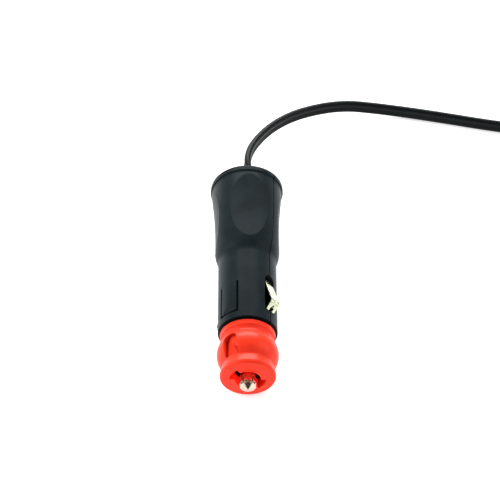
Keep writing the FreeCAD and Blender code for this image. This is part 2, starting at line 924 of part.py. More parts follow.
def wires():
    """The two cores from the split jacket to the contact tab and to the earth bridge."""
    split = 1.5
    spread = 7.0
    tab_end = plate_front - tab_length
    plus = [
        (lobe_offset, 0, jacket_end),
        (lobe_offset, 0, jacket_end + split),
        (wire_side, 0, jacket_end + split + spread),
        (wire_side, 0, tab_end - split - spread),
        (0, 0, tab_end - 2 * split),
        (0, 0, tab_end),
    ]
    minus = [
        (-lobe_offset, 0, jacket_end),
        (-lobe_offset, 0, jacket_end + split),
        (-wire_side, 0, jacket_end + split + spread),
        (-wire_side, 0, bulkhead_from_shoulder - bridge_thickness),
    ]
    return {
        "positive_wire": tube(plus, wire_r, "positive_wire"),
        "negative_wire": tube(minus, wire_r, "negative_wire"),
    }


def lay_down(shape, placement):
    laid = shape.copy()
    laid.Placement = placement.multiply(laid.Placement)
    return laid


def tilt_deg():
    """Nose-down tilt with the back rim and the adapter's ring both on the floor."""
    rim_z = back_z + rim_width
    return math.degrees(math.atan((rim_r - ring_r) / (ring_z - rim_z)))


def lying():
    """Turns the plug's axis to -Y, rolls the seam, and tips the nose down."""
    roll = math.radians(seam_deg)
    x = Vector(math.sin(roll), 0, math.cos(roll))
    y = Vector(-math.cos(roll), 0, math.sin(roll))
    z = Vector(0, -1, 0)
    turned_frame = Placement(Matrix(x.x, y.x, z.x, 0, x.y, y.y, z.y, 0, x.z, y.z, z.z, 0, 0, 0, 0, 1))
    return Placement(Vector(0, 0, 0), Rotation(Vector(1, 0, 0), tilt_deg())).multiply(turned_frame)


def coil_angle_point(deg, r, z):
    a = math.radians(deg)
    return (coil_centre[0] + r * math.cos(a), coil_centre[1] + r * math.sin(a), z)


def coil_solid():
    """Outer shape of the wound length: a ring of rounded square section."""
    half_w = (coil_layers - 1) * coil_pitch / 2 + lobe_r
    height = (coil_tiers - 1) * coil_rise + cord_width
    r0, r1 = coil_mean_r - half_w, coil_mean_r + half_w
    section = Part.Wire(
        [
            line((r0 + coil_round, 0), (r1 - coil_round, 0)),
            line((r1 - coil_round, 0), (r1, coil_round)),
            line((r1, coil_round), (r1, height - coil_round)),
            line((r1, height - coil_round), (r1 - coil_round, height)),
            line((r1 - coil_round, height), (r0 + coil_round, height)),
            line((r0 + coil_round, height), (r0, height - coil_round)),
            line((r0, height - coil_round), (r0, coil_round)),
            line((r0, coil_round), (r0 + coil_round, 0)),
        ]
    )
    body = Part.Face(section).revolve(Vector(0, 0, 0), Z, turn)
    body.translate(Vector(coil_centre[0], coil_centre[1], 0))
    return body


def dc_plug():
    """Moulded coaxial plug on the lead's far end, drawn along z and laid on the floor."""
    relief_front = dc_relief_length
    grip_front = relief_front + dc_grip_length
    collar_front = grip_front + dc_collar_length
    sleeve_front = collar_front + dc_sleeve_length
    grip = turned(
        [
            line((0, 0), (dc_relief_r, 0)),
            line((dc_relief_r, 0), (dc_relief_r + 0.4, relief_front)),
            line((dc_relief_r + 0.4, relief_front), (dc_grip_r - dc_grip_round, relief_front)),
            arc(
                (dc_grip_r - dc_grip_round, relief_front),
                (
                    dc_grip_r - dc_grip_round * (1 - math.sin(math.pi / 4)),
                    relief_front + dc_grip_round * (1 - math.cos(math.pi / 4)),
                ),
                (dc_grip_r, relief_front + dc_grip_round),
            ),
            line((dc_grip_r, relief_front + dc_grip_round), (dc_grip_r, grip_front)),
            line((dc_grip_r, grip_front), (dc_collar_r, grip_front)),
            line((dc_collar_r, grip_front), (dc_collar_r, collar_front)),
            line((dc_collar_r, collar_front), (0, collar_front)),
            line((0, collar_front), (0, 0)),
        ]
    )
    for i in range(dc_ridges):
        z = relief_front + 3 + i * dc_ridge_spacing
        grip = grip.cut(ring(dc_grip_r + 1, dc_grip_r - dc_ridge_depth, z, z + dc_ridge_width))
    sleeve_inner = dc_sleeve_r - dc_sleeve_wall
    pieces = {
        "dc_plug_grip": grip,
        "dc_plug_sleeve": ring(dc_sleeve_r, sleeve_inner, collar_front, sleeve_front),
        "dc_plug_insulator": ring(sleeve_inner, dc_contact_r, collar_front, sleeve_front - dc_contact_recess / 2),
        "dc_plug_contact": ring(dc_contact_r, dc_bore_r, collar_front, sleeve_front - dc_contact_recess),
    }
    ahead = Rotation(Z, Vector(*dc_direction))
    place = Placement(tail_end(), ahead)
    return {name: lay_down(piece, place) for name, piece in pieces.items()}


def tail_end():
    """Where the lead meets the far plug, straight along the plug's own axis."""
    return Vector(*tail_route[-1]) + Vector(*dc_direction).normalize() * tail_straight


def cord_pieces(exit_point, exit_way):
    """Lead to the coil, the coil, and the tail to the far plug."""
    half = (coil_layers - 1) * coil_pitch / 2
    enter = coil_angle_point(coil_enter_deg, coil_mean_r + half, cord_r)
    leave = coil_angle_point(coil_leave_deg, coil_mean_r + half, cord_r + coil_rise)
    start = [tuple(exit_point), tuple(exit_point + exit_way * cord_straight)]
    lead = start + cord_route + [enter]
    tail = [leave] + tail_route + [tuple(tail_end())]
    for name, points in (("cord_lead", lead), ("cord_tail", tail)):
        print(name, [tuple(round(c, 3) for c in p) for p in points])
    return {
        "cord_lead": tube(lead, cord_r, "cord_lead"),
        "cord_coil": coil_solid(),
        "cord_tail": tube(tail, cord_r, "cord_tail"),
    }


def main():
    upper, lower = shells()
    contact_right, contact_left = both_sides(side_contact())
    strip_right, strip_left = both_sides(strip_shape())
    pieces = {
        "shell_upper": upper,
        "shell_lower": lower,
        "housing_screw": screw(),
        "adapter_sleeve": adapter(),
        "centre_pin": centre_pin(),
        "pin_crown_nut": crown_nut(),
        "pin_spring": spring(),
        "positive_terminal": positive_terminal(),
        "ground_bridge": ground_bridge(),
        "side_contact_right": contact_right,
        "side_contact_left": contact_left,
        "nose_contact_right": strip_right,
        "nose_contact_left": strip_left,
        "cable_bush": cable_bush(),
        "cord_jacket_end": jacket(),
    }
    pieces.update(fuse_parts())
    pieces.update(wires())
    down = lying()
    laid = {name: lay_down(piece, down) for name, piece in pieces.items()}
    box = Part.makeCompound(list(laid.values())).optimalBoundingBox(False, False)
    shift = Vector(-(box.XMin + box.XMax) / 2, -(box.YMin + box.YMax) / 2, -box.ZMin)
    for piece in laid.values():
        piece.translate(shift)
    to_row = Placement(shift, Rotation()).multiply(down)
    exit_point = to_row.multVec(Vector(0, 0, bush_end))
    report(to_row)
    laid.update(cord_pieces(exit_point, to_row.Rotation.multVec(-Z)))
    laid.update(dc_plug())
    os.makedirs("parts", exist_ok=True)
    for name, piece in laid.items():
        solids = piece.Solids
        whole = solids[0] if len(solids) == 1 else Part.makeCompound(solids)
        print("%-20s solids %d valid %s volume %.2f" % (name, len(solids), whole.isValid(), whole.Volume))
        whole.exportStep("parts/" + name + ".step")


def report(to_row):
    """Prints the places and directions that the record needs."""
    places = {
        "shoulder": Vector(0, 0, 0),
        "tip": Vector(0, 0, head_plane + pin_tip_height),
        "exit": Vector(0, 0, bush_end),
        "right pivot": Vector(leaf_pivot_r, 0, pivot_z),
        "left pivot": Vector(-leaf_pivot_r, 0, pivot_z),
        "spring seat": Vector(0, 0, plate_front),
        "ring centre": Vector(0, 0, ring_z),
    }
    for name, spot in places.items():
        print(name, [round(c, 4) for c in to_row.multVec(spot)])
    turn_only = to_row.Rotation
    for name, way in (("x", Vector(1, 0, 0)), ("y", Vector(0, 1, 0)), ("z to the tip", Z)):
        print("direction", name, [round(c, 6) for c in turn_only.multVec(way)])
    print("tilt %.4f" % tilt_deg())


main()
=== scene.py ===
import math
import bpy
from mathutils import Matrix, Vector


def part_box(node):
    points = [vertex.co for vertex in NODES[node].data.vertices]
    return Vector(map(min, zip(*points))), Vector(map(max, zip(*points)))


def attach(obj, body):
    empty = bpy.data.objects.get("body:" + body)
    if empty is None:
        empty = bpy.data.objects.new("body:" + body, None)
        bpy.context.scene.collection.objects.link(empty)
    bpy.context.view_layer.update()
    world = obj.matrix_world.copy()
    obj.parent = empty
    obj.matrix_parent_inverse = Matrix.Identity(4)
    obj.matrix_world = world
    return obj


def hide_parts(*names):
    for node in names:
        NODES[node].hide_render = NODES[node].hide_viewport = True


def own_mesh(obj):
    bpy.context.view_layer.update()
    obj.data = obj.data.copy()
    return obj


bl_info = {
    "name": "Lighter Plug",
    "version": (1, 0, 0),
    "blender": (4, 5, 0),
    "location": "3D View > Sidebar > Lighter Plug",
    "description": "Dresses a vehicle lighter plug: finishes, flat twin lead and studio",
    "category": "Object",
}

import bpy
from bpy.props import FloatProperty, FloatVectorProperty, IntProperty, PointerProperty
from mathutils import Vector

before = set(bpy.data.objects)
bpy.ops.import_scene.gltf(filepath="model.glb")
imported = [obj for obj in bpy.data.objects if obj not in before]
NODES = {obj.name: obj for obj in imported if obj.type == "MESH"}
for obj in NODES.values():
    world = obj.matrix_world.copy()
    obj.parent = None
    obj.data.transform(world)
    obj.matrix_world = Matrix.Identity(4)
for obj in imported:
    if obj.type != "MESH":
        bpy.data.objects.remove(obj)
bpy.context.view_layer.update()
MM = 0.001

# The route of the lead, the same points as in the part's source, in metres
LEAD_ROUTE = [
    (0.0, 0.049175, 0.013829),
    (0.0, 0.05687, 0.014122),
    (0.0019, 0.0664, 0.0132),
    (0.0095, 0.0808, 0.0102),
    (0.0209, 0.0916, 0.0080),
    (0.0382, 0.0997, 0.0051),
    (0.0533, 0.0997, 0.0033),
    (0.0760, 0.0956, 0.0026),
    (0.0983, 0.0898, 0.0026),
    (0.1225, 0.0851, 0.0026),
]
TAIL_ROUTE = [
    (0.1699, 0.0324, 0.0079),
    (0.1682, 0.0248, 0.0061),
    (0.1666, 0.0176, 0.00475),
    (0.165306, 0.010924, 0.00475),
]

# Directions of the plug as it lies, from the part's source
SEAM_WAY = Vector((0.759271, -0.024741, 0.650304))
TIP_WAY = Vector((0.0, -0.999277, -0.038017))
RING_CENTRE = Vector((0.0, -0.035363, 0.010613))
ACROSS_SEAM = TIP_WAY.cross(SEAM_WAY)

# The coil: whole turns, and where the lead comes in and leaves, from the part's source
COIL_WHOLE_TURNS = 7
COIL_ENTER_DEG = 80.8
COIL_LEAVE_DEG = -15.0
COIL_POINTS_PER_TURN = 16
# Where the lead shifts to the next place in the coil, as parts of a turn
STEP_IN = 0.2
CLIMB_START, CLIMB_END = 0.45, 0.15
STEP_OUT_START, STEP_OUT_END = 0.35, 0.6
# The twin lead turns upright over this length behind the bush
LEAD_SETTLE = 9 * MM

TIE_DEG = 205
TIE_WIDTH = 5 * MM
TIE_WALL = 0.5 * MM
TIE_PLAY = 0.5 * MM
TIE_SINK = 0.1 * MM
TIE_LIFT = 0.3 * MM
TIE_CORNER = 1.6 * MM
TIE_EDGE = 0.12 * MM

# Half widths of the painted shadow in the groove where the shells meet, inside and out
SEAM_DARK, SEAM_CLEAR = 0.12 * MM, 0.26 * MM
# Radii between which the painted glow inside the sleeve fades out
BORE_LIT, BORE_UNLIT = 5.6 * MM, 6.4 * MM

# Name, place, width, height and share of the key light's power
SOFT_BOXES = (
    ("behind", (0.0, 0.85, 0.52), 0.9, 0.35, 1.0),
    ("left", (-0.8, 0.0, 0.45), 0.4, 0.8, 0.4),
    ("right", (0.8, 0.0, 0.45), 0.4, 0.8, 0.2),
)
LIGHT_AIM = (0, 0, 0.01)
# Name, place, width and height
DARK_CARDS = (
    ("far_card", (0, -0.6, 0.15), 0.9, 0.4),
    ("near_card", (0, -0.085, 0.031), 0.036, 0.060),
)
# At the frame's centre: a little behind the shoulder, at the axis' height
FRAME_CENTRE = Vector((1.04 * MM, 12.87 * MM, 12.1 * MM))


class PLUG_PG_lead(bpy.types.PropertyGroup):
    """Sizes of the flat twin lead and its coil"""

    width: FloatProperty(
        name="Width", description="Across both cores", default=5.2 * MM, unit="LENGTH", precision=5
    )
    thickness: FloatProperty(
        name="Thickness", description="Across one core", default=2.6 * MM, unit="LENGTH", precision=5
    )
    web: FloatProperty(
        name="Web", description="Thickness at the groove", default=1.7 * MM, unit="LENGTH", precision=5
    )
    coil_radius: FloatProperty(
        name="Coil radius",
        description="To the middle of the turns",
        default=28.5 * MM,
        unit="LENGTH",
        precision=5,
    )
    coil_pitch: FloatProperty(
        name="Coil pitch",
        description="From one turn to the next beside it",
        default=2.75 * MM,
        unit="LENGTH",
        precision=5,
    )
    coil_rise: FloatProperty(
        name="Coil rise",
        description="From the lower turns to the upper ones",
        default=5.3 * MM,
        unit="LENGTH",
        precision=5,
    )
    coil_layers: IntProperty(name="Coil layers", description="Turns side by side", default=4, min=1)
    colour: FloatVectorProperty(
        name="Colour",
        description="Insulation colour",
        subtype="COLOR",
        size=3,
        default=(0.0040, 0.0056, 0.0062),
    )


class PLUG_PG_finish(bpy.types.PropertyGroup):
    """Colours of the mouldings and metals"""

    black: FloatVectorProperty(
        name="Black moulding",
        description="Handle and barrel",
        subtype="COLOR",
        size=3,
        default=(0.0078, 0.0138, 0.0168),
    )
    red: FloatVectorProperty(
        name="Red moulding",
        description="Adapter sleeve",
        subtype="COLOR",
        size=3,
        default=(0.94, 0.040, 0.013),
    )
    leaf: FloatVectorProperty(
        name="Contact metal",
        description="Side contacts",
        subtype="COLOR",
        size=3,
        default=(0.68, 0.73, 0.52),
    )
    nickel: FloatVectorProperty(
        name="Nickel",
        description="Centre pin and ring nut",
        subtype="COLOR",
        size=3,
        default=(0.72, 0.58, 0.48),
    )
    grain: FloatProperty(
        name="Grain",
        description="Size of the moulded surface's grain",
        default=0.25 * MM,
        unit="LENGTH",
        precision=5,
    )


class PLUG_PG_studio(bpy.types.PropertyGroup):
    """Camera and light"""

    lens: FloatProperty(
        name="Lens",
        description="Focal length on a 36 mm sensor, in millimetres",
        default=105.3,
        subtype="NONE",
    )
    distance: FloatProperty(
        name="Distance", description="From the camera to the shoulder", default=0.530, unit="LENGTH"
    )
    elevation: FloatProperty(
        name="Elevation",
        description="Of the camera above the floor",
        default=math.radians(46.99),
        subtype="ANGLE",
    )
    azimuth: FloatProperty(
        name="Azimuth",
        description="Of the camera round the plug",
        default=math.radians(-0.34),
        subtype="ANGLE",
    )
    floor: FloatVectorProperty(
        name="Floor", description="Floor colour", subtype="COLOR", size=3, default=(0.9, 0.9, 0.9)
    )
    glow: FloatProperty(name="Floor glow", description="Light of the paper itself", default=0.5)
    room: FloatProperty(name="Room", description="Even light from all round", default=0.5)
    key: FloatProperty(
        name="Key light", description="Power of the soft box behind", default=12.0, subtype="NONE"
    )


class Value:
    """A shader socket that does maths: an expression on it adds Math nodes."""

    def __init__(self, tree, socket):
        self.tree = tree
        self.socket = socket

    def _math(self, operation, *values):
        node = self.tree.nodes.new("ShaderNodeMath")
        node.operation = operation
        for slot, value in zip(node.inputs, values):
            if isinstance(value, Value):
                self.tree.links.new(value.socket, slot)
            else:
                slot.default_value = value
        return Value(self.tree, node.outputs[0])

    def __add__(self, other):
        return self._math("ADD", self, other)

    def __radd__(self, other):
        return self._math("ADD", other, self)

    def __rsub__(self, other):
        return self._math("SUBTRACT", other, self)

    def __rmul__(self, other):
        return self._math("MULTIPLY", other, self)

    def __abs__(self):
        return self._math("ABSOLUTE", self)

    def smooth(self, low, high):
        """0 below low, 1 above high, with soft ends."""
        node = self.tree.nodes.new("ShaderNodeMapRange")
        node.interpolation_type = "SMOOTHSTEP"
        self.tree.links.new(self.socket, node.inputs["Value"])
        node.inputs["From Min"].default_value = low
        node.inputs["From Max"].default_value = high
        return Value(self.tree, node.outputs["Result"])


class Finish:
    """One material, built up by method calls."""

    def __init__(self, name, **fixed):
        self.material = bpy.data.materials.new(name)
        self.material.use_nodes = True
        self.tree = self.material.node_tree
        self.shader = self.tree.nodes["Principled BSDF"]
        for socket, value in fixed.items():
            self.set(socket.replace("_", " "), value)

    def set(self, socket, value):
        """A fixed value, or a link, on one of the shader's sockets."""
        target = self.shader.inputs[socket]
        if isinstance(value, Value):
            self.tree.links.new(value.socket, target)
        elif hasattr(value, "__len__") and len(value) == 3 and len(target.default_value) == 4:
            target.default_value = (*value, 1.0)
        else:
            target.default_value = value
        return self

    def node(self, kind, settings=None, output=0, **values):
        """A node of any kind: settings first, then its sockets by name."""
        node = self.tree.nodes.new(kind)
        for key, value in (settings or {}).items():
            setattr(node, key, value)
        for key, value in values.items():
            slot = node.inputs[key.replace("_", " ")]
            if isinstance(value, Value):
                self.tree.links.new(value.socket, slot)
            else:
                slot.default_value = value
        return Value(self.tree, node.outputs[output])

    def place(self):
        return self.node("ShaderNodeTexCoord", output="Object")

    def vector_maths(self, operation, first, second, output=0):
        """A vector operation between a link and a fixed vector."""
        node = self.tree.nodes.new("ShaderNodeVectorMath")
        node.operation = operation
        self.tree.links.new(first.socket, node.inputs[0])
        node.inputs[1].default_value = second
        return Value(self.tree, node.outputs[output])

    def from_axis(self):
        """From a point on the plug's own axis to the place being shaded."""
        return self.vector_maths("SUBTRACT", self.place(), RING_CENTRE)

    def noise(self, size, detail=3.0, vector=None):
        return self.node(
            "ShaderNodeTexNoise", Vector=vector or self.place(), Scale=1 / size, Detail=detail
        )

    def mix(self, amount, first, second):
        """Mix of two colours by an amount."""
        node = self.tree.nodes.new("ShaderNodeMix")
        node.data_type = "RGBA"
        self.tree.links.new(amount.socket, node.inputs["Factor"])
        for slot, value in ((node.inputs[6], first), (node.inputs[7], second)):
            if isinstance(value, Value):
                self.tree.links.new(value.socket, slot)
            else:
                slot.default_value = (*value, 1.0)
        return Value(self.tree, node.outputs[2])

    def relief(self, height, depth, strength=1.0):
        """Bump of a real depth, in metres, with softly rounded edges under it."""
        soft = self.node("ShaderNodeBevel", {"samples": 6}, Radius=0.18 * MM)
        bump = self.node(
            "ShaderNodeBump", Height=height, Distance=depth, Strength=strength, Normal=soft
        )
        return self.set("Normal", bump)


def shaded(colour, factor):
    return tuple(min(1.0, c * factor) for c in colour)


def moulded_black(name, colour, grain, gloss):
    """Satin moulding: fine grain, faint patches, a painted shadow along the groove where the shells
    meet.
    """
    finish = Finish(name, IOR=1.48, Specular_IOR_Level=0.08)
    fine = finish.noise(grain, 2.0)
    patch = finish.noise(9 * MM, 3.0)
    skin = finish.mix(patch.smooth(0.35, 0.7), shaded(colour, 0.85), shaded(colour, 1.2))
    # Painted shadow: the base colour turns near black in a thin band along the groove between the
    # shells
    off_seam = abs(finish.vector_maths("DOT_PRODUCT", finish.from_axis(), ACROSS_SEAM, 1))
    clear = off_seam.smooth(SEAM_DARK, SEAM_CLEAR)
    finish.set("Base Color", finish.mix(clear, (0.0005, 0.0008, 0.001), skin))
    finish.set("Roughness", gloss + 0.08 * patch.smooth(0.3, 0.7) + 0.04 * fine)
    return finish.relief(fine, 0.012 * MM, 0.5).material


def moulded_red(name, colour, grain):
    """Bright semi-gloss moulding: faint marbling, painted shade in the creases, a painted red glow
    inside the bore.
    """
    finish = Finish(
        name,
        IOR=1.5,
        Specular_IOR_Level=0.14,
        Subsurface_Weight=0.06,
        Subsurface_Scale=0.6 * MM,
    )
    finish.set("Subsurface Radius", (1.0, 0.15, 0.08))
    # Painted glow: red emission inside the bore, fading out between BORE_LIT and BORE_UNLIT, stands in
    # for light in the sleeve
    turned = finish.vector_maths("CROSS_PRODUCT", finish.from_axis(), TIP_WAY)
    radius = finish.vector_maths("LENGTH", turned, (0, 0, 0), 1)
    bore = 1.0 - radius.smooth(BORE_LIT, BORE_UNLIT)
    finish.set("Emission Color", finish.mix(bore, (0.0, 0.0, 0.0), (1.0, 0.008, 0.003)))
    finish.set("Emission Strength", 0.55)
    swirl = finish.noise(5 * MM, 4.0)
    fine = finish.noise(grain, 2.0)
    # Painted shade: ambient occlusion darkens the base colour to a third in creases and hollows
    open_air = finish.node(
        "ShaderNodeAmbientOcclusion", {"samples": 8}, output=1, Distance=1.6 * MM
    )
    skin = finish.mix(swirl.smooth(0.3, 0.7), shaded(colour, 0.93), shaded(colour, 1.06))
    finish.set("Base Color", finish.mix(open_air.smooth(0.25, 0.95), shaded(colour, 0.3), skin))
    finish.set("Roughness", 0.30 + 0.08 * swirl)
    return finish.relief(fine, 0.008 * MM, 0.5).material


def bright_metal(name, colour, roughness, scratch, across):
    """Plated metal with fine marks drawn out along one direction."""
    finish = Finish(name, Metallic=1.0)
    stretched = finish.node("ShaderNodeMapping", Vector=finish.place(), Scale=across)
    marks = finish.noise(scratch, 4.0, stretched)
    tarnish = finish.noise(2.5 * MM, 3.0)
    finish.set("Base Color", finish.mix(tarnish.smooth(0.4, 0.75), colour, shaded(colour, 0.8)))
    finish.set("Roughness", roughness + 0.14 * marks)
    return finish.relief(marks, 0.006 * MM, 0.2).material


def soft_rubber(name, colour, roughness):
    """Matt flexible moulding with dusty mottling."""
    finish = Finish(name, IOR=1.45, Specular_IOR_Level=0.12)
    dust = finish.noise(2.2 * MM, 5.0)
    fine = finish.noise(0.3 * MM, 2.0)
    finish.set("Base Color", finish.mix(dust.smooth(0.45, 0.8), colour, shaded(colour, 1.5)))
    finish.set("Roughness", roughness + 0.1 * dust)
    return finish.relief(fine, 0.01 * MM, 0.5).material


def clear_glass(name):
    finish = Finish(name, IOR=1.5, Transmission_Weight=0.9)
    smear = finish.noise(4 * MM, 2.0)
    finish.set("Base Color", finish.mix(smear, (0.92, 0.97, 0.96), (1.0, 1.0, 1.0)))
    finish.set("Roughness", 0.02 + 0.04 * smear)
    return finish.material


def dress(material, *names):
    """Puts a material on carried-over CAD nodes."""
    for name in names:
        node = NODES[name]
        node.data.materials.clear()
        node.data.materials.append(material)


def nothing_selected():
    if bpy.context.object and bpy.context.object.mode != "OBJECT":
        bpy.ops.object.mode_set(mode="OBJECT")
    bpy.ops.object.select_all(action="DESELECT")


def finished(piece, material, body):
    """Names its finish and body, with its place put into its mesh."""
    nothing_selected()
    piece.select_set(True)
    bpy.context.view_layer.objects.active = piece
    bpy.ops.object.transform_apply(location=True, rotation=True, scale=True)
    piece.data.materials.clear()
    piece.data.materials.append(material)
    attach(piece, body)
    return piece


class PLUG_OT_housing(bpy.types.Operator):
    """Finishes of the two shells, the screw and the bush"""

    bl_idname = "plug.housing"
    bl_label = "Handle and barrel"

    def execute(self, context):
        look = context.scene.plug_finish
        shell = moulded_black("black moulding", look.black, look.grain, 0.34)
        dress(shell, "shell_upper", "shell_lower")
        dress(bright_metal("zinc", (0.5, 0.5, 0.52), 0.3, 0.2 * MM, (1, 1, 1)), "housing_screw")
        dress(soft_rubber("bush rubber", shaded(look.black, 1.1), 0.55), "cable_bush")
        return {"FINISHED"}


class PLUG_OT_adapter(bpy.types.Operator):
    """Finish of the red adapter sleeve"""

    bl_idname = "plug.adapter"
    bl_label = "Adapter sleeve"

    def execute(self, context):
        look = context.scene.plug_finish
        dress(moulded_red("red moulding", look.red, look.grain), "adapter_sleeve")
        return {"FINISHED"}


class PLUG_OT_contacts(bpy.types.Operator):
    """Finishes of the side contacts, the strips to the nose and the earth bridge"""

    bl_idname = "plug.contacts"
    bl_label = "Earth contacts"

    def execute(self, context):
        look = context.scene.plug_finish
        metal = bright_metal("plated sheet", look.leaf, 0.16, 0.12 * MM, (1, 0.08, 1))
        dress(metal, "side_contact_right", "side_contact_left")
        dress(metal, "nose_contact_right", "nose_contact_left", "ground_bridge")
        return {"FINISHED"}


class PLUG_OT_pin(bpy.types.Operator):
    """Finishes of the centre pin, ring nut, spring, fuse and contact plate; the spring gets a mesh of
    its own
    """

    bl_idname = "plug.pin"
    bl_label = "Pin and fuse"

    def execute(self, context):
        look = context.scene.plug_finish
        nickel = bright_metal("turned nickel", look.nickel, 0.14, 0.1 * MM, (0.05, 1, 0.05))
        dress(nickel, "centre_pin", "pin_crown_nut", "fuse_cap_front", "fuse_cap_rear")
        spring = bright_metal("spring wire", (0.55, 0.55, 0.56), 0.25, 0.1 * MM, (1, 1, 1))
        dress(spring, "pin_spring")
        dress(bright_metal("fuse wire", (0.7, 0.7, 0.7), 0.3, 0.1 * MM, (1, 1, 1)), "fuse_wire")
        brass = bright_metal("plain brass", (0.78, 0.56, 0.25), 0.25, 0.15 * MM, (1, 1, 1))
        dress(brass, "positive_terminal")
        dress(clear_glass("fuse glass"), "fuse_glass")
        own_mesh(NODES["pin_spring"])
        return {"FINISHED"}


class PLUG_OT_far_plug(bpy.types.Operator):
    """Finishes of the coaxial plug on the far end of the lead"""

    bl_idname = "plug.far_plug"
    bl_label = "Coaxial plug"

    def execute(self, context):
        look = context.scene.plug_finish
        dull = shaded(look.nickel, 0.6)
        nickel = bright_metal("coaxial nickel", dull, 0.16, 0.1 * MM, (1, 0.1, 1))
        dress(soft_rubber("grip moulding", look.black, 0.45), "dc_plug_grip")
        dress(nickel, "dc_plug_sleeve", "dc_plug_contact")
        inner = moulded_black("insulator", shaded(look.black, 0.6), look.grain, 0.3)
        dress(inner, "dc_plug_insulator")
        return {"FINISHED"}


def coil_points(lead, centre, start):
    """Control points of the coil: inward on the floor, up, then outward on top."""
    per_turn = COIL_POINTS_PER_TURN
    turns = COIL_WHOLE_TURNS + (COIL_ENTER_DEG - COIL_LEAVE_DEG) / 360
    swell = 1 / math.cos(math.pi / per_turn)
    count = round(turns * per_turn)
    points = []
    for i in range(count + 1):
        t = i / per_turn
        layer, tier = coil_place(t, lead.coil_layers)
        r = (lead.coil_radius + (layer - (lead.coil_layers - 1) / 2) * lead.coil_pitch) * swell
        a = start - math.tau * t
        z = lead.width / 2 + tier * lead.coil_rise
        points.append((centre.x + r * math.cos(a), centre.y + r * math.sin(a), z))
    return points


def eased(t, start, end):
    f = min(1.0, max(0.0, (t - start) / (end - start)))
    return f * f * (3 - 2 * f)


def coil_place(t, layers):
    """Layer from the inside, and tier, after t turns."""
    last = layers - 1
    layer = last - sum(eased(t, k - STEP_IN, k) for k in range(1, layers))
    tier = eased(t, layers - CLIMB_START, layers - CLIMB_END)
    outward = range(layers, 2 * layers - 1)
    layer += sum(eased(t, k + STEP_OUT_START, k + STEP_OUT_END) for k in outward)
    return layer, tier


def nurbs_line(name, points):
    """A smooth open curve with those control points, as mesh points read back from it."""
    curve = bpy.data.curves.new(name, "CURVE")
    curve.dimensions = "3D"
    spline = curve.splines.new("NURBS")
    spline.points.add(len(points) - 1)
    for p, co in zip(spline.points, points):
        p.co = (*co, 1.0)
    spline.order_u = 3
    spline.use_endpoint_u = True
    spline.resolution_u = 8
    line = bpy.data.objects.new(name, curve)
    bpy.context.scene.collection.objects.link(line)
    mesh = bpy.data.meshes.new_from_object(line)
    path = [v.co.copy() for v in mesh.vertices]
    bpy.data.objects.remove(line)
    bpy.data.meshes.remove(mesh)
    bpy.data.curves.remove(curve)
    return path


def twin_section(lead, per_lobe=9):
    """Outline of the twin lead, as (along the width, across it)."""
    r = lead.thickness / 2
    off = (lead.width - lead.thickness) / 2
    waist = math.asin(lead.web / 2 / r)
    outline = []
    for side in (1, -1):
        for i in range(per_lobe):
            a = -(math.pi - waist) + 2 * (math.pi - waist) * i / (per_lobe - 1)
            outline.append((side * (off + r * math.cos(a)), side * r * math.sin(a)))
    return outline


def swept(name, path, outline, first_way, settle):
    """Mesh of an outline carried along a path, its width turning from first_way to upright."""
    verts, faces = [], []
    travelled = 0.0
    count = len(outline)
    for i, p in enumerate(path):
        ahead = (path[min(i + 1, len(path) - 1)] - path[max(i - 1, 0)]).normalized()
        if i:
            travelled += (p - path[i - 1]).length
        blend = eased(travelled, 0.0, settle)
        up = first_way * (1 - blend) + Vector((0, 0, 1)) * blend
        across = up.cross(ahead).normalized()
        up = ahead.cross(across)
        verts += [p + up * a + across * b for a, b in outline]
        if i:
            base = (i - 1) * count
            for k in range(count):
                n = (k + 1) % count
                faces.append((base + k, base + n, base + count + n, base + count + k))
    faces.append(tuple(range(count - 1, -1, -1)))
    faces.append(tuple(range(len(verts) - count, len(verts))))
    mesh = bpy.data.meshes.new(name)
    mesh.from_pydata(verts, [], faces)
    mesh.update()
    piece = bpy.data.objects.new(name, mesh)
    bpy.context.scene.collection.objects.link(piece)
    nothing_selected()
    piece.select_set(True)
    bpy.context.view_layer.objects.active = piece
    bpy.ops.object.mode_set(mode="EDIT")
    bpy.ops.mesh.select_all(action="SELECT")
    bpy.ops.mesh.normals_make_consistent(inside=False)
    bpy.ops.object.mode_set(mode="OBJECT")
    bpy.ops.object.shade_smooth_by_angle(angle=math.radians(50))
    return piece


class PLUG_OT_lead(bpy.types.Operator):
    """The flat twin lead: to the coil, round it and on to the coaxial plug"""

    bl_idname = "plug.lead"
    bl_label = "Flat twin lead"

    def execute(self, context):
        lead = context.scene.plug_lead
        low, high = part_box("cord_coil")
        centre = (Vector(low) + Vector(high)) / 2
        coil = coil_points(lead, centre, math.radians(COIL_ENTER_DEG))
        route = LEAD_ROUTE + coil + TAIL_ROUTE
        path = nurbs_line("lead line", route)
        piece = swept("flat_lead", path, twin_section(lead), SEAM_WAY, LEAD_SETTLE)
        insulation = soft_rubber("lead insulation", lead.colour, 0.34)
        finished(piece, insulation, "housing")
        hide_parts("cord_lead", "cord_coil", "cord_tail")
        tie = make_tie(context, centre)
        dress(insulation, "cord_jacket_end")
        dress(soft_rubber("red core", (0.45, 0.02, 0.015), 0.4), "positive_wire")
        dress(soft_rubber("black core", lead.colour, 0.4), "negative_wire")
        return {"FINISHED"}


